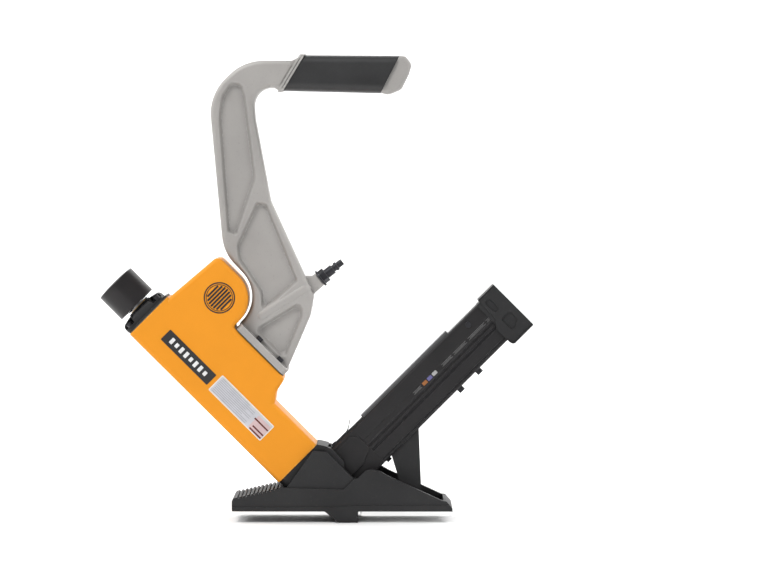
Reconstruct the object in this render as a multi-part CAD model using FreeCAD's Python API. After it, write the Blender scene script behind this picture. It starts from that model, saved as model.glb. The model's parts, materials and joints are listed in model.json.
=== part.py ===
import FreeCAD, Part
import math
import os

# Mallet-struck pneumatic flooring nailer, in millimetres.
# World frame: Z up, X along the tool, symmetric outline about Y = 0.
# Origin: centre of the base plate's underside, which rests on top of the floorboard.
# Drive frame: z' runs up the drive axis from the muzzle, x' points towards the magazine, y' = Y.

V = FreeCAD.Vector
FREE = V(0, 0, 0)
UP = V(0, 0, 1)
ALONG = V(1, 0, 0)
ACROSS = V(0, 1, 0)
DRIVE = FreeCAD.Placement(V(-53.0, 0, -10.4), FreeCAD.Rotation(ACROSS, -45))

# Drive train, heights along the drive axis
TIP_REST = 105.2
DRIVE_STROKE = 100.0
PISTON_BASE = 240.0
PISTON_HEIGHT = 18.0
BORE_R = 19.0
SLEEVE_R = 21.5
SLEEVE_TOP = 262.0
BLADE_HALF = 0.9
BLADE_WIDE = 6.3
SLIDE_GAP = 0.05

# Body housing
BODY_BASE = 94.5
BODY_TOP = 325.2
BODY_HALF = 29.5
BODY_ROUND = 5.0
CHAMBER_R = 23.5
SHOULDER = 104.0
SADDLE = 57.0
CORNER = 20.5
HUMP_FAR = 100.4
HUMP_LOW = 250.7
HUMP_R = 35.0

# Head
HEAD_BASE = 326.2
SCREW_SEAT = 331.0
CAP_HALF = 27.0
CAP_TOP = 340.6
CAP_DOME_R = 95.0
CAP_ROUND = 10.0
GUIDE_BASE = 306.0
STRIKE_SHIFT = -2.8
RAM_R = 8.0
RAM_FOOT_R = 10.0
STRIKE_R = 23.7
STRIKE_BASE = 343.6
STRIKE_TOP = 378.7
VALVE_R = 19.95

# Nose and base
NOSE_FLANGE = 84.0
MUZZLE = 4.5
COLUMN_HALF = 16.0
GUIDE_FAR = 7.0
PLATE_HALF = 50.8
PLATE_THICK = 5.0
BASE_HALF = 38.0
WALL_HALF = 37.0
LIP_LOW = -7.4
LIP_FACE = -53.6
WALL_INNER = 31.5
CHEEK_HALF = 35.0
BASE_SPOTS = [(x, y) for x in (-8, 8) for y in (-23, 23)]

# Magazine
MAG_LOW = 26.7
MAG_HIGH = 78.2
PAD_TOP = 79.6
LEAF_THICK = 1.0
MAG_END = 262.0
MAG_HALF = 13.5
TRACK_LOW = 27.8
TRACK_HIGH = 77.0
TRACK_HALF = 7.0
RAIL_HALF = 4.3
RAIL_TOP = 74.5
POCKET_FAR = 11.3
PUSHER_TRAVEL = 178.0
RIVET = 240.6
RAIL_SCREWS = (72.6, 184.1, 212.4)
STRIP_SCREWS = (92.0, 211.0)
STRIP_TOP = 81.9
END_FACE = 291.6
END_SCREWS = (40.0, 66.0)
STRUT_BOLTS = (83.0, 94.0)
STRUT_SEAT = 19.35
STRUT_FEET = (-5.0, 24.0)

# Handle
HANDLE_HALF = 17.0
PANEL_DEPTH = 5.5
FLANGE_HALF = 28.0
FLANGE_FAR = 65.5
FLANGE_LOW = 174.0
FLANGE_HIGH = 247.6
HANDLE_BOLTS = [(y, z) for y in (-22, 22) for z in (189, 221)]
GRIP_HALF = 17.5
INLET = V(-95.4, 0, 258.9)
INLET_AXIS = V(0.79, 0, 0.6131)


def box(x0, x1, y0, y1, z0, z1):
    return Part.makeBox(x1 - x0, y1 - y0, z1 - z0, V(x0, y0, z0))


def rod(radius, z0, z1, x=0.0, y=0.0):
    return Part.makeCylinder(radius, z1 - z0, V(x, y, z0))


def rod_to(radius, start, direction, length):
    return Part.makeCylinder(radius, length, start, direction)


def tube(outer, inner, z0, z1):
    return rod(outer, z0, z1).cut(rod(inner, z0 - 1, z1 + 1))


def ring(major, minor, z):
    return Part.makeTorus(major, minor, V(0, 0, z))


def joined(shapes):
    return shapes[0].multiFuse(shapes[1:]).removeSplitter()


def without(shape, tools):
    return shape.cut(Part.makeCompound(tools))


def both_sides(shape):
    return [shape, shape.mirror(FREE, ACROSS)]


def rounded_wire(corners, radius, y=0.0):
    """Closed wire in an XZ plane. A corner is (x, z) or (x, z, own radius)."""
    count = len(corners)
    points = [V(c[0], y, c[1]) for c in corners]
    radii = [c[2] if len(c) > 2 else radius for c in corners]
    spans = []
    for i in range(count):
        here = points[i]
        if radii[i] == 0:
            spans.append((here, here, here))
            continue
        back = (points[i - 1] - here).normalize()
        ahead = (points[(i + 1) % count] - here).normalize()
        half = back.getAngle(ahead) / 2
        reach = radii[i] / math.tan(half)
        centre = here + (back + ahead).normalize() * (radii[i] / math.sin(half))
        middle = centre + (here - centre).normalize() * radii[i]
        spans.append((here + back * reach, middle, here + ahead * reach))
    edges = []
    for i in range(count):
        start, middle, end = spans[i]
        if radii[i] != 0:
            edges.append(Part.Arc(start, middle, end).toShape())
        following = spans[(i + 1) % count][0]
        if end.distanceToPoint(following) > 1e-5:
            edges.append(Part.makeLine(end, following))
    return Part.Wire(edges)


def slab(corners, y0, y1, radius=0.0):
    return Part.Face(rounded_wire(corners, radius, y0)).extrude(V(0, y1 - y0, 0))


def widened(corners, amount):
    """Corners of an XZ outline moved outwards by amount; they run clockwise or anticlockwise."""
    count = len(corners)
    turn = sum(corners[i - 1][0] * corners[i][1] - corners[i][0] * corners[i - 1][1] for i in range(count))
    sign = 1.0 if turn > 0 else -1.0
    moved = []
    for i in range(count):
        here = V(corners[i][0], 0, corners[i][1])
        entry = here - V(corners[i - 1][0], 0, corners[i - 1][1])
        leave = V(corners[(i + 1) % count][0], 0, corners[(i + 1) % count][1]) - here
        first = V(entry.z, 0, -entry.x).normalize() * sign
        second = V(leave.z, 0, -leave.x).normalize() * sign
        shift = (first + second) * (amount / (1 + first.dot(second)))
        moved.append((here.x + shift.x, here.z + shift.z) + tuple(corners[i][2:]))
    return moved


def recess(corners, radius, surface, depth, draft):
    """Pocket with sloping walls, cut from the side face at y = surface towards the middle."""
    sign = 1.0 if surface > 0 else -1.0
    mouth = rounded_wire(widened(corners, draft * (depth + 0.5) / depth), radius, surface + 0.5 * sign)
    floor = rounded_wire(corners, radius, surface - depth * sign)
    return Part.makeLoft([mouth, floor], True, True)


def side_edges(shape, half):
    """Edges lying in the planes y = half and y = -half."""
    chosen = []
    for edge in shape.Edges:
        box_of = edge.BoundBox
        if box_of.YLength < 1e-4 and abs(abs(box_of.YMax) - half) < 1e-4:
            chosen.append(edge)
    return chosen


def coil(radius, wire, z0, z1, turns):
    """Compression spring along z, wire radius `wire`, between the planes z0 and z1."""
    height = z1 - z0 - 2 * wire
    path = Part.makeHelix(height / turns, height, radius)
    section = Part.Wire(Part.makeCircle(wire, V(radius, 0, 0), ACROSS))
    spring = Part.Wire(path).makePipeShell([section], True, True)
    spring.translate(V(0, 0, z0 + wire))
    return spring


def socket_screw(shank, head, head_height, length, x=0.0, y=0.0, z=0.0):
    """Cap screw pointing down -z with the underside of its head at z."""
    body = rod(shank, z - length, z, x, y).fuse(rod(head, z, z + head_height, x, y))
    hexagon = [V(x + head * 0.5 * math.cos(math.pi * i / 3), y + head * 0.5 * math.sin(math.pi * i / 3),
                 z + head_height * 0.4) for i in range(7)]
    socket = Part.Face(Part.makePolygon(hexagon)).extrude(V(0, 0, head_height))
    return body.removeSplitter().cut(socket)


def hexagon_bar(across, start, direction, length):
    radius = across / math.sqrt(3)
    points = [V(radius * math.cos(math.pi * i / 3), radius * math.sin(math.pi * i / 3), 0) for i in range(7)]
    bar = Part.Face(Part.makePolygon(points)).extrude(V(0, 0, length))
    bar.Placement = FreeCAD.Placement(start, FreeCAD.Rotation(UP, direction))
    return bar


def corner_spots(shift=0.0):
    return [(shift + sx * CORNER, sy * CORNER) for sx in (-1, 1) for sy in (-1, 1)]


def cap_spots():
    return corner_spots(STRIKE_SHIFT / 2)


# ---------------------------------------------------------------- head
# The striker and its bush are drawn about their own axis, STRIKE_SHIFT beside the barrel's.
# The ram's foot is small enough to clear the head valve's bore from there.

def strike_cap():
    cap = rod(STRIKE_R, STRIKE_BASE, STRIKE_TOP).common(Part.makeSphere(160, V(0, 0, STRIKE_TOP - 159.7)))
    rim = [e for e in cap.Edges if e.BoundBox.ZMin > STRIKE_TOP - 4 and e.BoundBox.XLength > 40]
    cap = cap.makeFillet(1.6, rim)
    return without(cap, [rod(19.4, STRIKE_BASE - 1, 356), rod(9.0, 355, 366)])


def ram():
    stem = joined([rod(RAM_R, 300.5, 357), rod(9.0, 356, 366), rod(RAM_FOOT_R, 300.5, GUIDE_BASE - 0.1)])
    bottom = [e for e in stem.Edges if abs(e.BoundBox.ZMax - 300.5) < 1e-3]
    return stem.makeChamfer(1.0, bottom)


def ram_bushing():
    bush = tube(11.0, RAM_R + SLIDE_GAP, GUIDE_BASE, 341.5)
    return bush.cut(tube(10.4, RAM_R - 1, 320.8, 323.2))


def ram_o_ring():
    return ring(9.2, 1.15, 322)


def ram_return_spring():
    return coil(12.5, 0.9, CAP_TOP, 356, 3.5)


def frame_cap():
    """Domed cover with a long spigot, pockets between radial ribs, and a land for the return spring."""
    dome = rounded_column(CAP_HALF, CAP_ROUND, HEAD_BASE + 1, 343)
    dome = dome.common(Part.makeSphere(CAP_DOME_R, V(0, 0, CAP_TOP - CAP_DOME_R - 0.2)))
    dome = dome.makeFillet(3.5, [e for e in dome.Edges if e.BoundBox.ZMin > SCREW_SEAT])
    pocket = tube(22.6, 16.2, 333.6, 345)
    for i in range(12):
        rib = box(0, 30, -1.1, 1.1, 330, 346)
        rib.rotate(FREE, UP, 30 * i + 15)
        pocket = pocket.cut(rib)
    dome = dome.cut(pocket).fuse(rod(14.5, 332, CAP_TOP))
    dome.translate(V(STRIKE_SHIFT, 0, 0))
    base = rounded_column(BODY_HALF - 0.5, CAP_ROUND, HEAD_BASE, HEAD_BASE + 2)
    body = joined([dome, base, rod(CHAMBER_R - 0.1, 276, HEAD_BASE + 1)])
    holes = [rod(2.2, HEAD_BASE - 1, 332, x, y) for x, y in cap_spots()]
    holes += [rod(9.0, SCREW_SEAT, 345, x, y) for x, y in cap_spots()]
    holes += [rod(20.0, 275, GUIDE_BASE), rod(11.0, 300, 345, STRIKE_SHIFT)]
    for i in range(6):
        port = rod_to(3.0, V(0, 0, 300.0), ALONG, 30)
        port.rotate(FREE, UP, 60 * i)
        holes.append(port)
    return without(body, holes)


def rounded_column(half, radius, z0, z1):
    """Square column with rounded long edges, centred on the drive axis."""
    column = box(-half, half, -half, half, z0, z1)
    upright = [e for e in column.Edges if e.BoundBox.ZLength > 0.9 * (z1 - z0)]
    return column.makeFillet(radius, upright)


def cap_gasket():
    sheet = rounded_column(BODY_HALF - 0.5, CAP_ROUND, BODY_TOP, HEAD_BASE)
    return without(sheet, [rod(CHAMBER_R, BODY_TOP - 1, HEAD_BASE + 1)]
                   + [rod(2.2, BODY_TOP - 1, HEAD_BASE + 1, x, y) for x, y in cap_spots()])


def cap_screws():
    return Part.makeCompound([socket_screw(2.0, 3.6, 4.0, 26, x, y, SCREW_SEAT) for x, y in cap_spots()])


def head_valve():
    valve = joined([rod(21.3, SLEEVE_TOP, 270), rod(VALVE_R, 269, 296)])
    grooves = [tube(21, 17.6, z - 1.2, z + 1.2) for z in (276, 290)]
    return without(valve, [rod(7, 260, 300), rod(13.2, 280, 300)] + grooves)


def head_valve_o_rings():
    return Part.makeCompound([ring(18.8, 1.15, z) for z in (276, 290)])


def head_valve_spring():
    return coil(16.2, 0.9, 296, GUIDE_BASE, 2.5)


# ---------------------------------------------------------------- body and drive train

def body_housing():
    """Barrel with the air reserve in its hump; the hump's and the barrel's side faces are flush."""
    barrel = rounded_column(BODY_HALF, BODY_ROUND, BODY_BASE, BODY_TOP)
    hump_line = [(10, 323.3, 0), (31, 323.3, 6), (HUMP_FAR, 317.7, 8), (HUMP_FAR, HUMP_LOW, HUMP_R),
                 (SADDLE, HUMP_LOW, 3), (SADDLE, 170.5, 6), (40, 167, 6), (26, 156.5, 0), (10, 156.5, 0)]
    hump = slab(hump_line, -BODY_HALF, BODY_HALF, 0)
    outer = [e for e in side_edges(hump, BODY_HALF) if e.BoundBox.XMax > 27]
    body = barrel.fuse(hump.makeFillet(BODY_ROUND, outer)).removeSplitter()
    wall = 6.0
    reserve = slab([(30, 314, 3), (HUMP_FAR - wall, 310, 4), (HUMP_FAR - wall, HUMP_LOW + wall, HUMP_R - wall),
                    (30, HUMP_LOW + wall, 3)], wall - BODY_HALF, BODY_HALF - wall, 0)
    saddle = slab([(32, 178, 3), (SADDLE - wall, 178, 3), (SADDLE - wall, 242, 3), (32, 242, 3)], -17, 17, 0)
    tools = [rod(CHAMBER_R, 128, BODY_TOP + 1), rod(SLEEVE_R, SHOULDER, 129), rod(12, BODY_BASE - 1, 105)]
    tools += [rod(2.0, 300, BODY_TOP + 1, x, y) for x, y in cap_spots()]
    tools += [rod(2.5, BODY_BASE - 1, 114, x, y) for x, y in corner_spots()]
    tools += [rod_to(2.5, V(43, y, z), ALONG, 20) for y, z in HANDLE_BOLTS]
    tools += [reserve, saddle, rod_to(9, V(18, 0, 204), ALONG, 50)]
    tools += [box(20, 32, -14, 14, 272, 300)]
    return without(body, tools)


def cylinder_sleeve():
    sleeve = joined([tube(SLEEVE_R, BORE_R, SHOULDER, SLEEVE_TOP), tube(CHAMBER_R - 0.1, BORE_R, 150, 156)])
    holes = [tube(24, 21.7, 151.8, 154.2)]
    for z in (134, 146):
        for i in range(4):
            hole = rod_to(2.0, V(0, 0, z), ALONG, 30)
            hole.rotate(FREE, UP, 45 + 90 * i)
            holes.append(hole)
    return without(sleeve, holes)


def sleeve_o_rings():
    return ring(22.55, 0.85, 153)


def piston():
    body = rod(BORE_R - SLIDE_GAP, PISTON_BASE, PISTON_BASE + PISTON_HEIGHT)
    tools = [tube(20, 16.7, 247.8, 250.2), rod(5, 239, 252), rod(11, 254, 259)]
    return without(body, tools)


def piston_o_ring():
    return ring(17.85, 1.1, 249)


def driver_blade():
    blade = box(-BLADE_HALF, BLADE_HALF, -BLADE_WIDE, BLADE_WIDE, TIP_REST, PISTON_BASE - 4)
    return joined([blade, rod(7.0, PISTON_BASE - 8, PISTON_BASE), rod(5.0, PISTON_BASE - 1, 252)])


def bumper():
    top = PISTON_BASE - DRIVE_STROKE - 0.2
    body = tube(BORE_R - 0.1, 8.2, SHOULDER, top)
    return body.cut(ring(BORE_R + 2, 4.5, (SHOULDER + top) / 2))


# ---------------------------------------------------------------- nose and base

def beyond_lip():
    """Space under the stop lip and in front of its face, given in the drive frame."""
    space = joined([box(-120, 0, -40, 40, -40, LIP_LOW), box(LIP_FACE, 0, -40, 40, -40, PLATE_THICK - 0.1)])
    space = space.fuse(slab([(-90, PLATE_THICK), (-120, PLATE_THICK), (-120, -20), (-74, LIP_LOW)], -40, 40))
    space.Placement = DRIVE.inverse()
    return space


def nose_block():
    flange = slab([(-29, NOSE_FLANGE), (-29, BODY_BASE), (30.5, BODY_BASE), (34.5, 88.5), (37, NOSE_FLANGE)],
                  -29, 29)
    front = [e for e in flange.Edges if e.BoundBox.ZLength > 9 and e.BoundBox.XMax < -28]
    flange = flange.makeFillet(9, front)
    column = box(-COLUMN_HALF, BLADE_HALF + SLIDE_GAP, -COLUMN_HALF, COLUMN_HALF, MUZZLE, NOSE_FLANGE + 1)
    body = joined([flange, column, rod(12, BODY_BASE - 1, SHOULDER)])
    slot = box(-BLADE_HALF - SLIDE_GAP, BLADE_HALF + SLIDE_GAP, -BLADE_WIDE - SLIDE_GAP,
               BLADE_WIDE + SLIDE_GAP, 0, 110)
    tools = [slot]
    for x, y in corner_spots():
        tools += [rod(2.5, NOSE_FLANGE - 1, BODY_BASE + 1, x, y), rod(4.4, NOSE_FLANGE - 1, 89, x, y)]
    tools += [rod(2.2, NOSE_FLANGE - 1, 92, x, y) for x, y in BASE_SPOTS]
    return without(body, tools + [beyond_lip()])


def nose_screws():
    screws = []
    for x, y in corner_spots():
        screw = socket_screw(2.5, 4.2, 4.5, 24, 0, 0, 0)
        screw.rotate(FREE, ALONG, 180)
        screw.translate(V(x, y, 89))
        screws.append(screw)
    return Part.makeCompound(screws)


def driver_guide():
    face = BLADE_HALF + SLIDE_GAP
    plate = box(face, GUIDE_FAR, -COLUMN_HALF, COLUMN_HALF, MUZZLE, NOSE_FLANGE)
    track = box(0, GUIDE_FAR + 1, -TRACK_HALF, TRACK_HALF, TRACK_LOW, TRACK_HIGH)
    return without(plate, [track, beyond_lip()])


def base_side_outline():
    return [(-191.8, PLATE_THICK, 1), (-191.8, 16.5, 2), (-190, 19.5, 2), (-139, 31, 3), (-69, 29, 2),
            (-57.5, 40.5, 2), (-53.5, 41.3, 2), (-44.5, 49.8, 3), (-39, 51, 4), (-30, 49.6, 5), (-20, 43.8, 8),
            (39.5, 16.5, 3), (43.5, 16.2, 2), (50.3, 8.6, 1.5), (50.3, PLATE_THICK, 0), (-53, PLATE_THICK, 1),
            (-55, -1, 1.5), (LIP_FACE, -2.5, 0.8), (LIP_FACE, LIP_LOW, 0.5), (-74, LIP_LOW, 2),
            (-90, PLATE_THICK, 3)]


def base_block():
    """Housing around the nose, drawn in the drive frame."""
    inner = slab([(-30, 60, 0), (-30, NOSE_FLANGE, 0), (36, NOSE_FLANGE, 0), (38, 81, 0), (38, 60, 4),
                  (32, 54, 2),
                  (32, 34, 0), (-10, 34, 0)], -30, 30, 0)
    cheek = slab([(-30.5, 84, 3), (22.5, 92.8, 3), (27, 87.8, 2), (32.6, 81, 3), (32.6, 38, 0), (-8, 34, 0),
                  (-30.5, 60, 0)], 30, CHEEK_HALF, 0)
    return [inner] + both_sides(cheek)


def foot_ridges():
    """Grooves across the sloping top of the foot."""
    slope = math.atan2(31 - 19.5, 51.0)
    step = V(math.cos(slope), 0, math.sin(slope))
    grooves = []
    for i in range(11):
        at = V(-189.0, 0, 19.8) + step * (4.0 + 4.5 * i)
        groove = slab([(-1.5, 1.2), (1.5, 1.2), (0.5, -1.8), (-0.5, -1.8)], -40, 40)
        groove.rotate(FREE, ACROSS, -math.degrees(slope))
        groove.translate(at)
        grooves.append(groove)
    return grooves


def side_steps():
    """Material above the shoe's bottom flange, outside its side walls."""
    above = [(-195, 9.5), (-84, 9.5), (-50, 11.6), (60, 11.6), (60, 70), (-195, 70)]
    return [slab(above, side * WALL_HALF, side * (BASE_HALF + 2)) for side in (-1, 1)]


def base_shoe():
    outline = slab(base_side_outline(), -WALL_HALF, WALL_HALF, 0)
    outline = outline.makeFillet(1.6, [e for e in side_edges(outline, WALL_HALF) if e.BoundBox.ZMin > 9])
    flange = without(slab(base_side_outline(), -BASE_HALF, BASE_HALF, 0), side_steps())
    well = slab([(-40, 10, 3), (40, 10, 3), (46, 70, 0), (-70, 70, 0), (-54, 36, 3)],
                -WALL_INNER, WALL_INNER, 0)
    shell = outline.fuse(flange).removeSplitter().cut(well)
    block = joined(base_block())
    block.Placement = DRIVE
    body = joined([shell, block.common(box(-150, 60, -40, 40, PLATE_THICK, 200))])
    gap = 0.05
    driven = [box(-COLUMN_HALF - gap, GUIDE_FAR, -COLUMN_HALF - gap, COLUMN_HALF + gap, -20, 90),
              box(GUIDE_FAR - 1, 70, -MAG_HALF - gap, MAG_HALF + gap, MAG_LOW, 90),
              box(GUIDE_FAR - 1, 70, -15.1, 15.1, 41.9, 90)]
    driven += [box(-29.1, 39, -29.1, 29.1, NOSE_FLANGE, 99)]
    driven += [rod(2.2, 55, 86, x, y) for x, y in BASE_SPOTS]
    driven += [rod(4.4, 5, 64, x, y) for x, y in BASE_SPOTS]
    bores = Part.makeCompound(driven)
    bores.Placement = DRIVE
    tools = [bores] + foot_ridges()
    tools += [rod(2.0, 4, 9.5, x, y) for x in (-38, 38) for y in (-28, 28)]
    tools += [rod(2.0, 6, 11, x, 0) for x in STRUT_FEET]
    tools += [slab([(-184, 4, 0), (-184, 11, 3), (-142, 21, 3), (-142, 4, 0)], y, y + 29, 0) for y in (-32, 3)]
    return without(body, tools)


def base_screws():
    screws = []
    for x, y in BASE_SPOTS:
        screw = socket_screw(2.2, 4.2, 4.0, 28, 0, 0, 0)
        screw.rotate(FREE, ALONG, 180)
        screw.translate(V(x, y, 64))
        screws.append(screw)
    return Part.makeCompound(screws)


def base_plate():
    plate = box(-PLATE_HALF, PLATE_HALF, -BASE_HALF, BASE_HALF, 0, PLATE_THICK)
    upright = [e for e in plate.Edges if e.BoundBox.ZLength > 4]
    plate = plate.makeFillet(3, upright)
    lower = [e for e in plate.Edges if e.BoundBox.ZMax < 1e-4]
    plate = plate.makeChamfer(0.6, lower)
    tools = []
    for x in (-38, 38):
        for y in (-28, 28):
            tools += [rod(2.0, -1, 6, x, y), rod(4.0, -1, 1.2, x, y)]
            tools.append(Part.makeCone(4.0, 2.0, 2.0, V(x, y, 1.2)))
    return without(plate, tools)


def base_plate_screws():
    screws = []
    for x in (-38, 38):
        for y in (-28, 28):
            head = Part.makeCone(4.0, 2.0, 2.0, V(x, y, 1.2)).fuse(rod(2.0, 3, 9, x, y)).removeSplitter()
            screws.append(head.cut(box(x - 3, x + 3, y - 0.5, y + 0.5, 1, 2.0)))
    return Part.makeCompound(screws)


# ---------------------------------------------------------------- handle

def handle_outline():
    return [(-119.5, 499.2, 5.6), (-178.3, 499.3, 55), (-217.5, 462, 55),
            (-201.6, 289, 50), (-155.3, 239.2, 38), (-186.3, 208.2, 5.6), (-133.2, 155.1, 5.6),
            (-105.8, 218.5, 22), (-101.9, 240.5, 9), (-149.5, 345, 30), (-166.3, 436, 30),
            (-168.6, 469.8, 19.5), (-137, 469.4, 5.6)]


def handle_panels():
    """Floor outlines of the shallow pockets in each side of the handle."""
    upper = [(-183, 472, 7), (-179.5, 458, 14), (-168.5, 371, 20), (-188.6, 311, 2.5), (-194.5, 313, 2.5),
             (-203.8, 438, 40), (-200.5, 460, 14), (-192, 472.2, 6)]
    middle = [(-163.5, 341.5, 3), (-155.5, 340, 5), (-122.5, 258, 4), (-156.8, 227.5, 4), (-158.2, 246, 14),
              (-182.5, 282, 14), (-184, 297, 7)]
    lower = [(-116.5, 232, 6), (-117.5, 218, 14), (-135.5, 175, 5), (-163.5, 203, 5)]
    return [upper, middle, lower]


def air_duct():
    """Air space inside the handle, from the flange to the bend below the grip."""
    return slab([(-157, 230, 5), (-139, 197, 0), (-120, 216, 5), (-110, 238, 4), (-119, 252, 4), (-153, 330, 20),
                 (-175, 446, 8), (-197, 446, 10), (-205, 425, 20), (-194, 305, 14), (-164, 262, 14)], -7.5, 7.5, 0)


def handle_collar():
    """Two parallel ridges that close the front of the grip, and the flare that leads up to them."""
    flare = slab([(-132, 498.9, 0), (-125, 499.1, 8), (-114.5, 505.4, 0), (-139, 465.6, 0), (-146.5, 469.8, 6),
                  (-150, 469.8, 0)], -16, 16, 0)
    pieces = [flare]
    for half, x0, x1 in ((18.0, 0.0, 2.6), (18.5, 3.6, 6.0)):
        block = box(-150, -100, -half, half, 464.9, 506.6)
        block = block.makeFillet(10.0, [e for e in block.Edges if e.BoundBox.XLength > 40])
        slice_of = slab([(-116.4 + x0, 507.6), (-116.4 + x1, 507.6),
                         (-142.8 + x1, 463.9), (-142.8 + x0, 463.9)], -20, 20)
        pieces.append(block.common(slice_of))
    core = slab([(-116, 505.6), (-112, 505.6), (-137, 465.9), (-141, 465.9)], -16, 16)
    return joined(pieces + [core])


def inlet_boss():
    """Neck for the air inlet, blended into the rear edge of the handle."""
    neck = slab([(-122, 262.4, 0), (-103.6, 262.4, 3), (-100.4, 265.4, 0), (-90.4, 252.5, 0), (-94.8, 248.8, 3),
                 (-103.2, 241.5, 10), (-103.6, 228, 0), (-122, 228, 0)], -8.2, 8.2, 0)
    neck = neck.makeFillet(2.0, side_edges(neck, 8.2))
    return neck.cut(rod_to(30, INLET, INLET_AXIS, 20))


def air_tube():
    """Rounded rib on both sides of the handle, from the flange side up to the inlet."""
    start = V(-159.5, 10.2, 218.6)
    ahead = V(-113.0, 10.2, 247.5) - start
    half = rod_to(8.2, start, ahead, ahead.Length).fuse(Part.makeSphere(8.2, start))
    return both_sides(half.fuse(Part.makeSphere(8.2, start + ahead)))


def handle_casting():
    frame = slab(handle_outline(), -HANDLE_HALF, HANDLE_HALF, 0)
    frame = frame.makeFillet(5.0, side_edges(frame, HANDLE_HALF))
    pockets = [recess(corners, 4, side * HANDLE_HALF, PANEL_DEPTH, 3.0)
               for corners in handle_panels() for side in (-1, 1)]
    frame = without(frame, pockets)
    frame = frame.makeFillet(2.0, side_edges(frame, HANDLE_HALF))
    bar = slab([(-125, 497.8), (-6, 499.6), (-16, 469.4), (-145, 470.5)], -11, 11)
    knob = slab([(-7.6, 504.6, 0), (-1, 503.8, 5), (6.0, 495, 7), (2.8, 484.5, 8), (-5.5, 467.5, 9),
                 (-20, 461.8, 7), (-28.3, 464.0, 0)], -15, 15, 0)
    knob = knob.makeFillet(4.0, [e for e in side_edges(knob, 15) if e.BoundBox.XMax > -6])
    flange = box(SADDLE + 1, FLANGE_FAR, -FLANGE_HALF, FLANGE_HALF, FLANGE_LOW, FLANGE_HIGH)
    flange = flange.makeFillet(6, [e for e in flange.Edges if e.BoundBox.XLength > 7])
    flange.Placement = DRIVE
    body = joined([frame, handle_collar(), bar, knob, flange, inlet_boss()] + air_tube())
    driven = [rod_to(9, V(SADDLE, 0, 204), ALONG, 30)]
    driven += [rod_to(2.7, V(SADDLE, y, z), ALONG, 20) for y, z in HANDLE_BOLTS]
    port = Part.makeCompound(driven)
    port.Placement = DRIVE
    return without(body, [air_duct(), port, rod_to(7.0, INLET, INLET_AXIS * -1, 26)])


def handle_gasket():
    sheet = box(SADDLE, SADDLE + 1, -FLANGE_HALF, FLANGE_HALF, FLANGE_LOW, FLANGE_HIGH)
    upright = [e for e in sheet.Edges if abs(e.BoundBox.XLength - 1) < 1e-4]
    sheet = sheet.makeFillet(6, upright)
    tools = [rod_to(9, V(SADDLE - 1, 0, 204), ALONG, 3)]
    tools += [rod_to(2.7, V(SADDLE - 1, y, z), ALONG, 3) for y, z in HANDLE_BOLTS]
    return without(sheet, tools)


def handle_bolts():
    bolts = []
    for y, z in HANDLE_BOLTS:
        bolt = socket_screw(2.5, 3.7, 4.4, 22)
        bolt.rotate(FREE, ACROSS, 90)
        bolt.translate(V(FLANGE_FAR, y, z))
        bolts.append(bolt)
    return Part.makeCompound(bolts)


def grip_sleeve():
    shell = slab([(-111.0, 505.3), (-7.6, 504.7), (-28.6, 463.5), (-136.2, 466.1)], -GRIP_HALF, GRIP_HALF)
    shell = shell.cut(slab([(-120, 510), (-110.6, 507), (-137.0, 463), (-150, 463)], -20, 20))
    long_edges = [e for e in side_edges(shell, GRIP_HALF) if e.BoundBox.XLength > 60]
    shell = shell.makeFillet(10.0, long_edges)
    tools = [slab([(-150, 497.8, 0), (10, 499.8, 0), (10, 469, 0), (-170, 470.5, 0)], -11, 11, 0)]
    return without(shell, tools)


def inlet_bushing():
    body = joined([rod_to(7.0, INLET - INLET_AXIS * 12, INLET_AXIS, 13), rod_to(10.0, INLET, INLET_AXIS, 2.0),
                   hexagon_bar(14.0, INLET + INLET_AXIS * 1.5, INLET_AXIS, 7.0)])
    return without(body, [rod_to(3.4, INLET - INLET_AXIS * 20, INLET_AXIS, 40)])


def air_plug():
    steps = [(3.4, -4, 14), (5.4, 8.5, 9.5), (3.9, 17.5, 5), (5.0, 21, 3), (3.6, 23, 8)]
    turned = [rod_to(radius, INLET + INLET_AXIS * start, INLET_AXIS, length)
              for radius, start, length in steps]
    return joined(turned).cut(rod_to(2.2, INLET - INLET_AXIS * 6, INLET_AXIS, 50))


def inlet_screen():
    mesh = rod_to(6.9, INLET - INLET_AXIS * 14, INLET_AXIS, 1.6)
    place = FreeCAD.Placement(INLET - INLET_AXIS * 15, FreeCAD.Rotation(UP, INLET_AXIS))
    holes = []
    for i in range(6):
        hole = rod(1.1, 0, 4, 4.2 * math.cos(math.pi * i / 3), 4.2 * math.sin(math.pi * i / 3))
        hole.Placement = place
        holes.append(hole)
    return without(mesh, holes + [rod_to(1.1, INLET - INLET_AXIS * 15, INLET_AXIS, 4)])


# ---------------------------------------------------------------- magazine

def magazine_profile():
    """Half section of the magazine, from the middle of its top to the middle of its bottom, as (y, z)."""
    side = MAG_HALF
    return [(0, MAG_HIGH), (side - 1.5, MAG_HIGH), (side, MAG_HIGH - 1.5), (side, 61.0), (side - 0.6, 60.4),
            (side - 0.6, 55.0), (side, 54.4), (side, 53.2), (side - 1.5, 52.4), (side - 1.5, 51.0),
            (side - 0.4, 50.2), (side - 0.4, 47.6), (side - 1.9, 46.8), (side - 1.9, 45.2), (side - 0.2, 44.2),
            (side - 0.2, 31.5), (side - 1.2, 30.9), (side - 1.2, 29.9), (side - 0.2, 29.3),
            (side - 0.2, MAG_LOW + 1.5), (side - 1.7, MAG_LOW), (0, MAG_LOW)]


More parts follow.
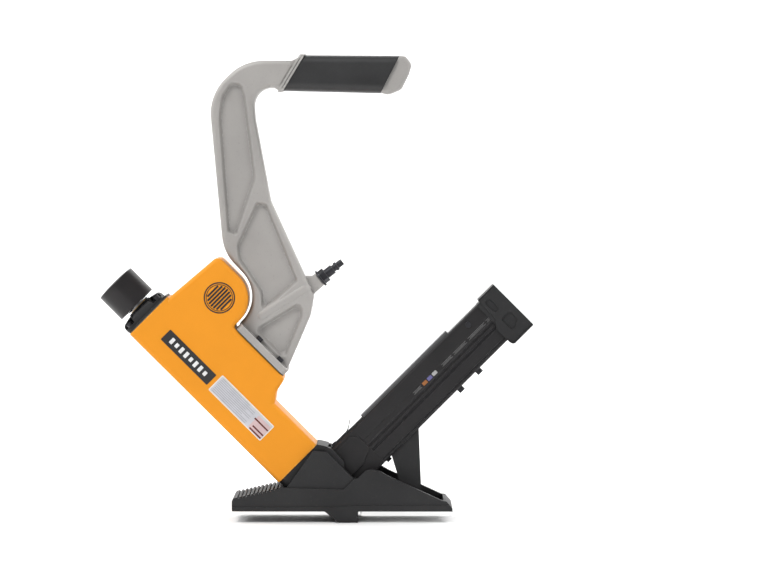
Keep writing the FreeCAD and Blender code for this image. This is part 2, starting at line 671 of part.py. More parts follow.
def magazine_housing():
    half = magazine_profile()
    loop = half + [(-y, z) for y, z in reversed(half[1:-1])]
    points = [V(GUIDE_FAR, y, z) for y, z in loop]
    body = Part.Face(Part.makePolygon(points + [points[0]])).extrude(V(MAG_END - GUIDE_FAR, 0, 0))
    plain = [box(GUIDE_FAR, 68, side * MAG_HALF - 2.5, side * MAG_HALF + 2.5, MAG_LOW + 1.5, 62)
             for side in (-1, 1)]
    plain = [piece.common(box(0, 70, -MAG_HALF, MAG_HALF, 0, 90)) for piece in plain]
    body = joined([body, box(36, 85.4, -9, 9, TRACK_HIGH, PAD_TOP)] + plain)
    tools = [box(GUIDE_FAR - 1, MAG_END + 1, -TRACK_HALF, TRACK_HALF, TRACK_LOW, TRACK_HIGH)]
    tools += [box(20, 62 + PUSHER_TRAVEL, 6, POCKET_FAR, 44, 56)]
    tools += [box(42, 56 + PUSHER_TRAVEL, POCKET_FAR - 1, 15, 47.9, 52.1)]
    tools += [box(98, 205, -3.5, 3.5, TRACK_HIGH - 1, MAG_HIGH + 1)]
    tools += [rod(1.8, 20, 28, x, 0) for x in RAIL_SCREWS]
    tools += [rod(1.6, 76, 80, x, 0) for x in STRIP_SCREWS + (42.0,)]
    tools += [rod_to(2.0, V(RIVET, -15, 69.5), ACROSS, 30)]
    tools += [rod(2.0, MAG_LOW - 1, TRACK_LOW + 1, x, 0) for x in STRUT_BOLTS]
    return without(body, tools)


def magazine_covers():
    cover = slab([(GUIDE_FAR, 42, 0), (50, 42, 9), (67.7, 50, 3), (67.7, 68.5, 3), (60, 74, 3), (GUIDE_FAR, 74, 0)],
                 MAG_HALF, 15.0, 0)
    face = [e for e in cover.Edges if abs(e.BoundBox.YMin - 15) < 1e-4 and e.BoundBox.XMax > 20]
    near = cover.makeChamfer(0.5, face).mirror(FREE, ACROSS)
    far = without(cover, [box(40, 80, 10, 20, 46, 54)])
    return Part.makeCompound([near, far])


def magazine_rail():
    body = box(GUIDE_FAR + 1, MAG_END - 6, -RAIL_HALF, RAIL_HALF, TRACK_LOW, RAIL_TOP)
    tools = [box(GUIDE_FAR - 1, 236, -RAIL_HALF + 1.3, RAIL_HALF - 1.3, 36, RAIL_TOP - 1.5)]
    tools += [rod(1.8, 27, 40, x, 0) for x in RAIL_SCREWS]
    tools += [rod_to(2.0, V(RIVET, -15, 69.5), ACROSS, 30)]
    tools += [rod_to(2.0, V(244.5, 0, z), ALONG, 20) for z in END_SCREWS]
    return without(body, tools)


def rail_screws():
    screws = []
    for x in RAIL_SCREWS:
        head, height = (3.75, 5.6) if x > 100 else (3.0, 3.4)
        screw = socket_screw(1.8, head, height, 9.5)
        screw.rotate(FREE, ALONG, 180)
        screw.translate(V(x, 0, MAG_LOW))
        screws.append(screw)
    return Part.makeCompound(screws)


def magazine_rivet():
    pin = joined([rod_to(2.0, V(RIVET, -MAG_HALF, 69.5), ACROSS, 2 * MAG_HALF),
                  rod_to(3.4, V(RIVET, -MAG_HALF - 1.0, 69.5), ACROSS, 1.0),
                  rod_to(3.4, V(RIVET, MAG_HALF, 69.5), ACROSS, 1.0)])
    rims = [e for e in pin.Edges
            if e.BoundBox.XLength > 6 and abs(abs(e.BoundBox.YMax) - MAG_HALF - 1) < 1e-3]
    return pin.makeFillet(0.6, rims)


def track_strip():
    strip = box(85.5, 218, -9, 9, MAG_HIGH, STRIP_TOP)
    upright = [e for e in strip.Edges if abs(e.BoundBox.ZLength - STRIP_TOP + MAG_HIGH) < 1e-3]
    strip = strip.makeFillet(2.5, upright)
    tools = []
    for x in STRIP_SCREWS:
        tools += [rod(1.6, 78, 82, x, 0), Part.makeCone(1.6, 3.2, 1.6, V(x, 0, STRIP_TOP - 1.6))]
    return without(strip, tools)


def strip_screws():
    screws = []
    for x in STRIP_SCREWS:
        head = Part.makeCone(1.6, 3.2, 1.6, V(x, 0, STRIP_TOP - 1.6))
        head = head.fuse(rod(1.6, 77.2, STRIP_TOP - 1, x, 0))
        screws.append(head.removeSplitter().cut(rod(1.0, STRIP_TOP - 1, STRIP_TOP + 1, x, 0)))
    return Part.makeCompound(screws)


def retaining_spring():
    """Leaf that starts flat on the magazine and curls up at its free end."""
    top = PAD_TOP + LEAF_THICK
    leaf = slab([(37.0, PAD_TOP, 0), (63.5, PAD_TOP, 13), (75.3, 87.6, 0), (74.7, 88.2, 0),
                 (63.2, top, 12), (37.0, top, 0)], -6, 6, 0)
    return leaf.cut(rod(1.6, 78, 82, 42, 0))


def leaf_spring_screw():
    return socket_screw(1.6, 3.0, 1.0, 3.4, 42, 0, PAD_TOP + LEAF_THICK)


def pusher():
    saddle = box(12, 58, -6.6, 6.6, 31.5, 76.6)
    saddle = saddle.cut(box(11, 59, -RAIL_HALF - 0.1, RAIL_HALF + 0.1, 31, RAIL_TOP + 0.1))
    arm = box(44, 54, 6, 11.1, 45, 55)
    neck = box(44, 54, 11, 14.0, 48, 52)
    return joined([saddle, arm, neck])


def pusher_knob():
    knob = box(42, 58, 15.2, 22, 42, 58)
    knob = knob.makeFillet(3, [e for e in knob.Edges if e.BoundBox.YLength > 6])
    stub = box(44.5, 53.5, 14.0, 16, 48.2, 51.8)
    grooves = [box(45 + 4 * i, 46.4 + 4 * i, 21, 23, 40, 60) for i in range(3)]
    return without(joined([knob, stub]), grooves)


def pusher_spring():
    spring = coil(1.6, 0.35, 0, 23.5, 14)
    spring.rotate(FREE, ACROSS, 90)
    spring.translate(V(20.3, 9.2, 50))
    return spring


def end_block():
    body = slab([(MAG_END, MAG_HIGH, 0), (266.8, MAG_HIGH, 0), (266.8, 81.2, 0.8), (END_FACE, 81.2, 1.2),
                 (END_FACE, 18.6, 1.2), (260.5, 18.6, 4), (258.6, MAG_LOW, 1.5), (MAG_END, MAG_LOW, 0)],
                -15.5, 15.5, 0)
    cheek = slab([(266.8, 79, 1), (END_FACE, 79, 1), (END_FACE, 22, 1), (263, 22, 3), (259, 30, 2), (259, 44, 3),
                  (266.8, 53, 3)], -16.6, 16.6, 0)
    body = body.fuse(cheek.cut(box(250, MAG_END, -MAG_HALF - 0.05, MAG_HALF + 0.05, MAG_LOW, MAG_HIGH)))
    tongue = box(MAG_END - 5, MAG_END + 1, -6.9, 6.9, 34, 73)
    tools = []
    for side in (-1, 1):
        tools.append(recess([(271, 58, 3), (271, 74, 3), (277, 74, 3), (277, 58, 3)], 2, side * 16.6, 1.4, 0.6))
        tools.append(recess([(271, 30, 3), (271, 48, 3), (283, 48, 5), (283, 36, 5)], 3, side * 16.6, 1.6, 0.8))
    for z in END_SCREWS:
        tools += [rod_to(2.0, V(250, 0, z), ALONG, 45), rod_to(3.8, V(END_FACE - 3.2, 0, z), ALONG, 5)]
    return without(joined([body, tongue]), tools)


def end_block_screws():
    screws = []
    for z in END_SCREWS:
        screw = socket_screw(2.0, 3.6, 3.0, 42.5)
        screw.rotate(FREE, ACROSS, 90)
        screw.translate(V(END_FACE - 3.2, 0, z))
        screws.append(screw)
    return Part.makeCompound(screws)


def magazine_strut():
    side = [(-16.35, 64.0), (13.6, 93.95), (16.0, 34), (16.5, 10), (-4, 10), (-7.3, 34)]
    body = slab(side, -11, 11)
    inner = slab([(-20, 50), (6, 76), (10, 60), (12.8, 34), (12.8, 13), (-20, 13)], -8, 8)
    foot = box(-10, 30, -11, 11, 10, 13)
    bolts = Part.makeCompound([rod(2.0, 5, MAG_LOW + 1, x, 0) for x in STRUT_BOLTS])
    bolts.Placement = DRIVE
    strut = joined([body.cut(inner), foot])
    return without(strut, [bolts] + [rod(2.0, 9, 14, x, 0) for x in STRUT_FEET])


def strut_screws():
    """Two screws into the shoe and two up into the magazine."""
    screws = [socket_screw(2.0, 3.6, 2.5, 6, x, 0, 13) for x in STRUT_FEET]
    for x in STRUT_BOLTS:
        screw = socket_screw(2.0, 3.6, 3.0, TRACK_LOW - STRUT_SEAT)
        screw.rotate(FREE, ALONG, 180)
        screw.translate(V(x, 0, STRUT_SEAT))
        screw.Placement = DRIVE.multiply(screw.Placement)
        screws.append(screw)
    return Part.makeCompound(screws)


STRUCK = {
    "strike_cap": strike_cap, "ram": ram, "ram_bushing": ram_bushing, "ram_o_ring": ram_o_ring,
    "ram_return_spring": ram_return_spring,
}

DRIVEN = {
    "frame_cap": frame_cap, "cap_gasket": cap_gasket,
    "cap_screws": cap_screws, "head_valve": head_valve, "head_valve_o_rings": head_valve_o_rings,
    "head_valve_spring": head_valve_spring, "body_housing": body_housing, "cylinder_sleeve": cylinder_sleeve,
    "sleeve_o_ring": sleeve_o_rings, "piston": piston, "piston_o_ring": piston_o_ring,
    "driver_blade": driver_blade, "bumper": bumper, "nose_block": nose_block, "nose_screws": nose_screws,
    "driver_guide": driver_guide, "base_screws": base_screws, "handle_gasket": handle_gasket,
    "handle_bolts": handle_bolts, "magazine_housing": magazine_housing, "magazine_covers": magazine_covers,
    "magazine_rail": magazine_rail, "rail_screws": rail_screws, "magazine_rivet": magazine_rivet,
    "track_strip": track_strip, "strip_screws": strip_screws, "retaining_spring": retaining_spring,
    "leaf_spring_screw": leaf_spring_screw, "pusher": pusher, "pusher_knob": pusher_knob,
    "pusher_spring": pusher_spring, "end_block": end_block, "end_block_screws": end_block_screws,
}

PLACED = {
    "base_shoe": base_shoe, "base_plate": base_plate, "base_plate_screws": base_plate_screws,
    "handle_casting": handle_casting, "grip_sleeve": grip_sleeve, "inlet_bushing": inlet_bushing,
    "air_plug": air_plug, "inlet_screen": inlet_screen, "magazine_strut": magazine_strut,
    "strut_screws": strut_screws,
}


def main():
    os.makedirs("parts", exist_ok=True)
    beside = DRIVE.multiply(FreeCAD.Placement(V(STRIKE_SHIFT, 0, 0), FreeCAD.Rotation()))
    for group, place in ((STRUCK, beside), (DRIVEN, DRIVE), (PLACED, FreeCAD.Placement())):
        for name, build in group.items():
            shape = build()
            shape.Placement = place.multiply(shape.Placement)
            shape.exportStep("parts/" + name + ".step")


main()
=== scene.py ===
import json
import math

import bmesh
import bpy
from mathutils import Matrix, Vector


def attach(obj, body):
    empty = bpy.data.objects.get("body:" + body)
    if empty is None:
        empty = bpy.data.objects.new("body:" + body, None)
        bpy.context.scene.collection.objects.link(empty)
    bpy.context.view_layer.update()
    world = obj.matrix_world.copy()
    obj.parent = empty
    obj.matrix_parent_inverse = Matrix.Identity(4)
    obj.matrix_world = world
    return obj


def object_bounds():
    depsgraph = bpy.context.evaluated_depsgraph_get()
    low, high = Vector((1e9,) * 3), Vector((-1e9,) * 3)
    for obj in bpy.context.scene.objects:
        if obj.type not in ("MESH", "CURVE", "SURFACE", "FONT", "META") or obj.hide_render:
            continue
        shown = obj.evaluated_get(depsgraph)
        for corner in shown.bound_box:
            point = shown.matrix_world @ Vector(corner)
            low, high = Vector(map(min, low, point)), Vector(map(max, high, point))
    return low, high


# Looks for the flooring nailer. Metres, row frame: Z up, X along the tool, Y across it.
# In the drive frame, (b, a) is b towards the magazine and a up the drive axis.

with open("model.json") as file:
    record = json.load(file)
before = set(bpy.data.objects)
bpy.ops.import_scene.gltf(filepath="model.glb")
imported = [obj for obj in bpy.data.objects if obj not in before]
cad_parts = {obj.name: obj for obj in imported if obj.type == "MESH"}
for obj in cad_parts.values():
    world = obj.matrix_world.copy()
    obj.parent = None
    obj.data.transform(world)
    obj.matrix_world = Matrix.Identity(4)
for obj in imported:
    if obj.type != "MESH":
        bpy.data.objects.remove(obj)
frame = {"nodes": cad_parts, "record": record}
NODES = frame["nodes"]
CAD_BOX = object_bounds()
DRIVE_FOOT = (-0.053, 0, -0.0104)
DRIVE_LEAN = math.radians(45)
DRIVE = Matrix.Translation(DRIVE_FOOT) @ Matrix.Rotation(-DRIVE_LEAN, 4, "Y")
SCENE = bpy.context.scene


# ---------------------------------------------------------------- camera, floor and light

def make_camera():
    target = Vector((-0.0248, 0, 0.2487))
    place = Vector((-0.025, -3.2, 0.39))
    data = bpy.data.cameras.new("camera")
    data.lens = 135.8
    data.sensor_width = 36.0
    camera = bpy.data.objects.new("camera", data)
    SCENE.collection.objects.link(camera)
    camera.location = place
    camera.rotation_mode = "QUATERNION"
    camera.rotation_quaternion = (target - place).to_track_quat("-Z", "Y")
    data.clip_start = 0.05
    data.clip_end = 60
    SCENE.camera = camera


def area_light(name, place, aim, size, power):
    data = bpy.data.lights.new(name, "AREA")
    data.shape = "RECTANGLE"
    data.size, data.size_y = size
    data.energy = power
    light = bpy.data.objects.new(name, data)
    SCENE.collection.objects.link(light)
    light.location = place
    light.rotation_euler = (Vector(aim) - Vector(place)).to_track_quat("-Z", "Y").to_euler()


def make_studio():
    """Pale paper that rests under the lip and curves up behind the tool, with soft lights around it."""
    low = CAD_BOX[0].z
    mesh = bpy.data.meshes.new("studio_floor")
    edit = bmesh.new()
    front, back, wall_top, half_width = -6, 3.0, 6, 7
    sweep, sweep_steps = 1.5, 12
    rows = [(front, 0), (back, 0)]
    for step in range(1, sweep_steps + 1):
        angle = step * math.pi / (2 * sweep_steps)
        rows.append((back + sweep * math.sin(angle), sweep - sweep * math.cos(angle)))
    rows.append((back + sweep, wall_top))
    strips = [[edit.verts.new((x, y, low + z)) for x in (-half_width, half_width)] for y, z in rows]
    for first, second in zip(strips, strips[1:]):
        edit.faces.new((first[0], first[1], second[1], second[0])).smooth = True
    edit.to_mesh(mesh)
    edit.free()
    floor = bpy.data.objects.new("studio_floor", mesh)
    SCENE.collection.objects.link(floor)
    mat = bpy.data.materials.new("studio_paper")
    mat.use_nodes = True
    shader = mat.node_tree.nodes["Principled BSDF"]
    shader.inputs["Base Color"].default_value = (0.96, 0.96, 0.96, 1)
    shader.inputs["Roughness"].default_value = 0.9
    mesh.materials.append(mat)
    world = bpy.data.worlds.new("studio")
    world.use_nodes = True
    world.node_tree.nodes["Background"].inputs["Color"].default_value = (1, 1, 1, 1)
    world.node_tree.nodes["Background"].inputs["Strength"].default_value = 0.42
    SCENE.world = world
    middle = (-0.08, 0, 0.25)
    area_light("key", (-1.3, -1.5, 2.6), middle, (0.9, 0.7), 50)
    area_light("fill", (2.4, -2.0, 0.9), middle, (0.8, 1.6), 13)
    area_light("rim", (0.5, 1.7, 2.3), middle, (1.8, 0.9), 20)
    for side in (-1, 1):
        area_light("backdrop", (3.0 * side, 0.6, 2.6), (1.2 * side, 4.4, 1.6), (2.0, 2.0), 150)
    SCENE.view_settings.view_transform = "Standard"


# ---------------------------------------------------------------- materials

class Look:
    """Small helper around one material's node tree."""

    def __init__(self, name):
        self.material = bpy.data.materials.new(name)
        self.material.use_nodes = True
        self.tree = self.material.node_tree
        self.shader = self.tree.nodes["Principled BSDF"]
        self.place = self.add("TexCoord").outputs["Object"]

    def add(self, kind, links=None, **values):
        node = self.tree.nodes.new("ShaderNode" + kind)
        for key, value in values.items():
            if hasattr(node, key):
                setattr(node, key, value)
            else:
                node.inputs[key.replace("_", " ")].default_value = value
        for key, source in (links or {}).items():
            self.tree.links.new(source, node.inputs[key])
        return node

    def noise(self, scale, detail, stretch=None):
        source = self.place
        if stretch:
            source = self.add("Mapping", {"Vector": source}, Scale=stretch[0], Rotation=stretch[1]).outputs[0]
        node = self.add("TexNoise", {"Vector": source}, Scale=scale, Detail=detail, Roughness=0.55)
        return node.outputs["Fac"]

    def range(self, source, low, high, to_low=0.0, to_high=1.0):
        node = self.add("MapRange", {"Value": source})
        for key, value in zip(("From Min", "From Max", "To Min", "To Max"), (low, high, to_low, to_high)):
            node.inputs[key].default_value = value
        return node.outputs[0]

    def math(self, operation, first, second):
        node = self.add("Math", operation=operation)
        for slot, value in zip(node.inputs, (first, second)):
            if isinstance(value, (int, float)):
                slot.default_value = value
            else:
                self.tree.links.new(value, slot)
        return node.outputs[0]

    def mix(self, factor, first, second):
        node = self.add("Mix", data_type="RGBA")
        for slot, value in ((node.inputs[0], factor), (node.inputs[6], first), (node.inputs[7], second)):
            if isinstance(value, (int, float)):
                slot.default_value = value
            elif isinstance(value, tuple):
                slot.default_value = (*value, 1)
            else:
                self.tree.links.new(value, slot)
        return node.outputs[2]

    def connect(self, source, key):
        self.tree.links.new(source, self.shader.inputs[key])


def shade(colour, factor):
    return tuple(min(1.0, c * factor) for c in colour)


# Reach of the ambient occlusion that paints shade into corners and recesses
CORNER_SHADE_REACH = 0.009
# Scale of the noise that breaks up the worn edges and their painted highlight
EDGE_MARK_SCALE = 260.0
COAT_ROUGHNESS = 0.18


def finish(name, base, rough=0.45, metal=0.0, spread=0.12, blotch=22.0, grain=(1500.0, 0.00003),
           edge=None, corner_shade=0.35, coat=0.0, brushed=None, speck=None, soft=0.0006, gloss=0.5):
    """Moulded, cast or machined surface with uneven colour, fine grain, painted shade in corners and worn
    edges lightened with a painted edge highlight.

    grain is (scale, height), edge is (colour of the worn edges and their painted highlight, strength, width),
    brushed is (stretch, turn), speck is (scale, colour, strength), and soft is the width that rounds the
    sharp edges.
    """
    look = Look(name)
    wide = look.noise(blotch, 4.0)
    fine = look.noise(grain[0], 2.0, brushed)
    colour = look.mix(look.range(wide, 0.3, 0.7), shade(base, 1 - spread), shade(base, 1 + spread))
    colour = look.mix(look.range(fine, 0.25, 0.75, 0.0, spread), colour, shade(base, 0.55))
    if speck:
        dots = look.noise(speck[0], 1.0)
        colour = look.mix(look.range(dots, 0.66, 0.74, 0.0, speck[2]), colour, speck[1])
    # Painted shade: where ambient occlusion finds corners, creases and recesses, the colour is mixed towards
    # a darker copy of the base colour.
    if corner_shade:
        near = look.add("AmbientOcclusion", samples=6, Distance=CORNER_SHADE_REACH).outputs["AO"]
        colour = look.mix(look.math("MULTIPLY", look.range(near, 0.9, 0.35), corner_shade), colour, shade(base, 0.3))
    rounded = look.add("Bevel", samples=4, Radius=soft).outputs["Normal"]
    level = look.range(wide, 0.2, 0.8, rough - 0.07, rough + 0.07)
    # Worn edges with a painted highlight: edges found by comparing a wide bevel normal with the true normal
    # are lightened towards the edge colour, broken up by noise.
    if edge:
        true = look.add("NewGeometry").outputs["True Normal"]
        wider = look.add("Bevel", samples=6, Radius=edge[2]).outputs["Normal"]
        dot = look.add("VectorMath", operation="DOT_PRODUCT")
        look.tree.links.new(true, dot.inputs[0])
        look.tree.links.new(wider, dot.inputs[1])
        edge_wear_and_highlight = look.range(dot.outputs["Value"], 0.99, 0.86)
        broken = look.range(look.noise(EDGE_MARK_SCALE, 4.0), 0.38, 0.62, 0.15, 1.0)
        edge_wear_and_highlight = look.math("MULTIPLY", look.math("MULTIPLY", edge_wear_and_highlight, broken), edge[1])
        colour = look.mix(edge_wear_and_highlight, colour, edge[0])
    look.connect(colour, "Base Color")
    look.connect(look.math("ADD", level, look.range(fine, 0.3, 0.7, -0.03, 0.03)), "Roughness")
    bump = look.add("Bump", {"Height": fine, "Normal": rounded}, Strength=1.0, Distance=grain[1])
    look.connect(bump.outputs[0], "Normal")
    look.shader.inputs["Metallic"].default_value = metal
    look.shader.inputs["Specular IOR Level"].default_value = gloss
    look.shader.inputs["Coat Weight"].default_value = coat
    look.shader.inputs["Coat Roughness"].default_value = COAT_ROUGHNESS
    return look.material


# Stretch and turn of the grain along the drive axis and along the magazine
DRIVE_BRUSH = ((1.0, 1.0, 0.04), (0, DRIVE_LEAN, 0))
FEED_BRUSH = ((0.04, 1.0, 1.0), (0, DRIVE_LEAN, 0))


def make_materials():
    # In each look the edge entry lightens worn edges with a painted highlight, and the number after it sets
    # the painted shade in corners.
    black_edge = ((0.085, 0.085, 0.085), 0.45, 0.0009)
    return {
        "orange_coat": finish("orange_enamel", (0.795, 0.30, 0.022), 0.42, 0.0, 0.05, 9, (900, 0.00002),
                              ((1.0, 0.55, 0.12), 0.6, 0.003), 0.45, soft=0.001, gloss=0.13),
        "grey_casting": finish("blasted_casting", (0.385, 0.37, 0.355), 0.52, 0.2, 0.07, 14, (1300, 0.00006),
                               ((0.6, 0.59, 0.575), 0.75, 0.0026), 0.6, speck=(420, (0.27, 0.26, 0.25), 0.35),
                               gloss=0.3),
        "black_coat": finish("black_casting", (0.034, 0.034, 0.035), 0.46, 0.0, 0.14, 16, (1100, 0.00005),
                             black_edge, 0.5, speck=(500, (0.05, 0.05, 0.05), 0.4), gloss=0.1),
        "magazine_black": finish("black_extrusion", (0.022, 0.021, 0.022), 0.4, 0.1, 0.15, 20, (700, 0.00002),
                                 ((0.13, 0.13, 0.13), 0.5, 0.0009), 0.4, brushed=FEED_BRUSH, gloss=0.25),
        "striker_black": finish("black_urethane", (0.019, 0.017, 0.018), 0.34, 0.0, 0.16, 26, (600, 0.00002),
                                ((0.09, 0.09, 0.09), 0.5, 0.0014), 0.3, brushed=DRIVE_BRUSH, gloss=0.3),
        "plate_white": finish("white_acetal", (0.95, 0.95, 0.945), 0.42, 0.0, 0.03, 30, (900, 0.00002),
                              ((0.86, 0.86, 0.85), 0.5, 0.0008), 0.25),
        "bare_steel": finish("ground_steel", (0.36, 0.36, 0.37), 0.3, 0.95, 0.08, 30, (900, 0.00001),
                             ((0.7, 0.7, 0.7), 0.4, 0.0005), 0.4, brushed=FEED_BRUSH, soft=0.0003),
        "track_strip": finish("strip_steel", (0.15, 0.15, 0.155), 0.45, 0.7, 0.08, 40, (900, 0.00001),
                              ((0.5, 0.5, 0.5), 0.5, 0.0006), 0.4, brushed=FEED_BRUSH, soft=0.0003),
        "dark_steel": finish("black_oxide", (0.035, 0.035, 0.04), 0.36, 0.6, 0.15, 60, (1500, 0.00001),
                             ((0.24, 0.24, 0.25), 0.6, 0.0005), 0.5, soft=0.0003),
        "spring_steel": finish("drawn_wire", (0.34, 0.35, 0.37), 0.3, 0.9, 0.1, 80, (1500, 0.000005),
                               None, 0.4, soft=0.0002),
        "bronze": finish("oiled_bronze", (0.5, 0.33, 0.14), 0.38, 0.9, 0.12, 60, (1400, 0.00001),
                         ((0.75, 0.55, 0.3), 0.4, 0.0005), 0.4, soft=0.0003),
        "rubber_black": finish("grip_rubber", (0.021, 0.021, 0.022), 0.42, 0.0, 0.2, 30, (1500, 0.00005),
                               None, 0.3, speck=(900, (0.045, 0.045, 0.045), 0.5)),
        "seal_rubber": finish("nitrile", (0.015, 0.015, 0.015), 0.5, 0.0, 0.1, 60, (1500, 0.00001),
                              None, 0.0),
        "valve_plastic": finish("natural_acetal", (0.7, 0.67, 0.6), 0.4, 0.0, 0.05, 50, (1200, 0.00001),
                                None, 0.3),
        "gasket_fibre": finish("gasket_sheet", (0.1, 0.11, 0.09), 0.8, 0.0, 0.15, 90, (2200, 0.00004),
                               None, 0.2),
    }


SHARP_FROM = math.radians(32)


def dress_nodes(looks):
    """Gives each node the look under its own name, or else the one of its material slot."""
    slots = {s["node"]: s["material_slot"] for s in frame["record"]["subparts"]}
    for name, obj in NODES.items():
        obj.data.materials.clear()
        obj.data.materials.append(looks.get(name, looks[slots[name]]))
        obj.data.polygons.foreach_set("use_smooth", [True] * len(obj.data.polygons))
        obj.data.set_sharp_from_angle(angle=SHARP_FROM)


# ---------------------------------------------------------------- flat trim on the side faces

# Distance of each side face from the middle plane
HOUSING_FACE = 0.0295
MAGAZINE_FACE = 0.0129


def rounded_outline(width, height, radius, steps=6):
    points = []
    for sx, sy, turn in ((1, 1, 0), (-1, 1, 90), (-1, -1, 180), (1, -1, 270)):
        for i in range(steps + 1):
            angle = math.radians(turn + 90 * i / steps)
            points.append((sx * (width / 2 - radius) + radius * math.cos(angle),
                           sy * (height / 2 - radius) + radius * math.sin(angle)))
    return points


def flat_piece(name, outlines, thick, material):
    """Thin plates with a chamfered rim, one per outline, drawn in their own XY plane and merged."""
    edit = bmesh.new()
    chamfer = thick * 0.4
    for outline in outlines:
        middle = Vector((sum(p[0] for p in outline), sum(p[1] for p in outline), 0)) / len(outline)
        rings = []
        for height, inset in ((0, 0), (thick - chamfer, 0), (thick, chamfer)):
            ring = []
            for x, y in outline:
                point = Vector((x, y, 0))
                inward = (middle - point).normalized() * inset
                ring.append(edit.verts.new((x + inward.x, y + inward.y, height)))
            rings.append(ring)
        for lower, upper in zip(rings, rings[1:]):
            for i in range(len(lower)):
                j = (i + 1) % len(lower)
                edit.faces.new((lower[i], lower[j], upper[j], upper[i]))
        edit.faces.new(rings[-1])
        edit.faces.new(list(reversed(rings[0])))
    mesh = bpy.data.meshes.new(name)
    edit.to_mesh(mesh)
    edit.free()
    mesh.materials.append(material)
    obj = bpy.data.objects.new(name, mesh)
    SCENE.collection.objects.link(obj)
    return obj


def on_side(obj, b, a, y, body="frame"):
    """Places a flat piece on a side face at (b, a) of the drive frame: its X runs up the drive axis,
    its Z points outwards."""
    out = 1 if y > 0 else -1
    basis = Matrix(((0, out, 0, b), (0, 0, out, y), (1, 0, 0, a), (0, 0, 0, 1)))
    obj.data.transform(DRIVE @ basis)
    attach(obj, body)


def shifted(outline, dx, dy):
    return [(x + dx, y + dy) for x, y in outline]


def band(radius, width, start, sweep, steps=48):
    outer = [(radius * math.cos(start + sweep * i / steps), radius * math.sin(start + sweep * i / steps))
             for i in range(steps + 1)]
    inner = [((radius - width) / radius * x, (radius - width) / radius * y) for x, y in reversed(outer)]
    return outer + inner


def row_of(count, pitch, make):
    """Copies of a small outline side by side along the piece's own X, centred."""
    return [shifted(make(i), (i - (count - 1) / 2) * pitch, 0) for i in range(count)]


def make_side_plate(tag, face, black, white):
    """Dark name plate with plain white bars in place of lettering."""
    centre = (-0.0012, 0.2620)
    thick = 0.0004
    out = 1 if face > 0 else -1
    plate = [rounded_outline(0.0712, 0.0152, 0.0010)]
    on_side(flat_piece("side_plate_" + tag, plate, thick, black), *centre, face)
    bars = row_of(8, 0.0072, lambda i: rounded_outline(0.0040, 0.0072 if i % 3 else 0.0052, 0.0006))
    on_side(flat_piece("side_plate_bars_" + tag, bars, 0.0002, white), *centre, face + out * thick)


def make_side_label(tag, face, border, paper, grey, pink, red):
    """Pale label with plain grey lines and a panel of dark red bars."""
    centre = (0.0001, 0.1817)
    border_top, paper_top, ink = 0.0002, 0.0003, 0.00008
    out = 1 if face > 0 else -1
    layers = [("side_label_border_", [rounded_outline(0.0803, 0.0226, 0.0015)], border_top, border, 0.0),
              ("side_label_paper_", [rounded_outline(0.0779, 0.0202, 0.0008)], 0.0001, paper, border_top)]
    lines = []
    for row in range(9):
        width = 0.0515 if row % 3 else 0.042
        line = rounded_outline(width, 0.0007, 0.0003, 2)
        lines.append(shifted(line, 0.0370 - width / 2, 0.00215 * (row - 4)))
    layers.append(("side_label_lines_", lines, ink, grey, paper_top))
    panel = [shifted(rounded_outline(0.0190, 0.0170, 0.0004, 2), -0.0290, 0.0008)]
    layers.append(("side_label_panel_", panel, ink, pink, paper_top))
    bars = [shifted(rounded_outline(length, 0.0018, 0.0003, 2), -0.0386 + length / 2, dy)
            for length, dy in ((0.0205, -0.0027), (0.0162, 0.0048), (0.0172, 0.0089))]
    layers.append(("side_label_bars_", bars, 0.00014, red, paper_top))
    for name, outlines, thick, material, lift in layers:
        on_side(flat_piece(name + tag, outlines, thick, material), *centre, face + out * lift)


def make_round_badge(tag, face, black):
    """Ring badge around a plain fan of bars."""
    fan_radius, pitch = 0.0132, 0.0034
    rings = [band(radius, width, turn, math.pi)
             for radius, width in ((0.0172, 0.0012), (0.0148, 0.0006)) for turn in (0, math.pi)]
    for i in range(-3, 4):
        length = 2 * math.sqrt(fan_radius ** 2 - (pitch * i) ** 2)
        rings.append(shifted(rounded_outline(0.0021, length, 0.0006), pitch * i, 0))
    on_side(flat_piece("round_badge_" + tag, rings, 0.0003, black), 0.0689, 0.2841, face)


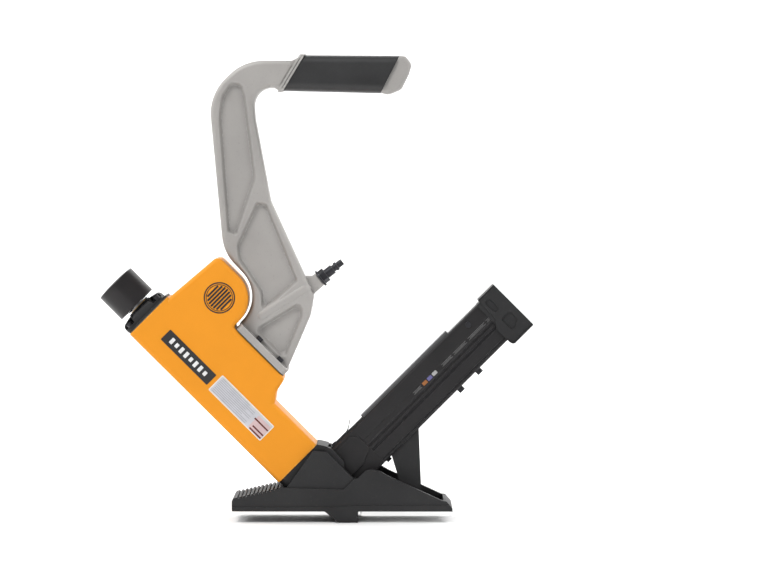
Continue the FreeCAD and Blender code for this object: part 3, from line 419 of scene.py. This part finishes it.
def make_size_strip(tag, face, grey, orange, blue, white):
    """Row of plain marks along the magazine: short grey bars and three coloured squares."""
    height, pitch = 0.0578, 0.0012
    out = 1 if face > 0 else -1
    bars = []
    for at, length in ((0.150, 0.012), (0.196, 0.016), (0.216, 0.020), (0.242, 0.026), (0.266, 0.018)):
        for row in (-pitch, 0.0, pitch):
            part = length if row else length * 0.8
            bars.append(shifted(rounded_outline(0.0005, part, 0.0002, 2), row, out * at))
    pieces = [("size_strip_marks_", bars, grey)]
    for name, at, material in (("size_square_a_", 0.1615, orange), ("size_square_b_", 0.1690, blue),
                               ("size_square_c_", 0.1765, white)):
        pieces.append((name, [shifted(rounded_outline(0.0040, 0.0062, 0.0004, 2), 0, out * at)], material))
    for name, outlines, material in pieces:
        on_side(flat_piece(name + tag, outlines, 0.0001, material), 0.0, height, face)


def make_trim():
    def print_look(name, colour, rough=0.45):
        return finish(name, colour, rough, 0.0, 0.08, 90, (1500, 0.00001), None, 0.0)

    black = finish("badge_black", (0.014, 0.014, 0.015), 0.34, 0.0, 0.1, 60, (1500, 0.00001), None, 0.2, 0.2)
    white = print_look("badge_white", (0.78, 0.78, 0.78))
    border = print_look("label_border", (0.80, 0.76, 0.70))
    paper = print_look("label_paper", (0.56, 0.56, 0.60))
    grey = print_look("label_print", (0.36, 0.37, 0.40))
    pink = print_look("label_pink", (0.62, 0.46, 0.46))
    red = print_look("label_red", (0.13, 0.022, 0.02))
    mark_grey = print_look("mark_grey", (0.17, 0.17, 0.17), 0.5)
    mark_orange = print_look("mark_orange", (0.33, 0.12, 0.03), 0.5)
    mark_blue = print_look("mark_blue", (0.13, 0.12, 0.30), 0.5)
    mark_white = print_look("mark_white", (0.42, 0.42, 0.42), 0.5)
    for tag, side in (("near", -1), ("far", 1)):
        housing = side * HOUSING_FACE
        make_side_plate(tag, housing, black, white)
        make_side_label(tag, housing, border, paper, grey, pink, red)
        make_round_badge(tag, housing, black)
        make_size_strip(tag, side * MAGAZINE_FACE, mark_grey, mark_orange, mark_blue, mark_white)


make_camera()
make_studio()
dress_nodes(make_materials())
make_trim()
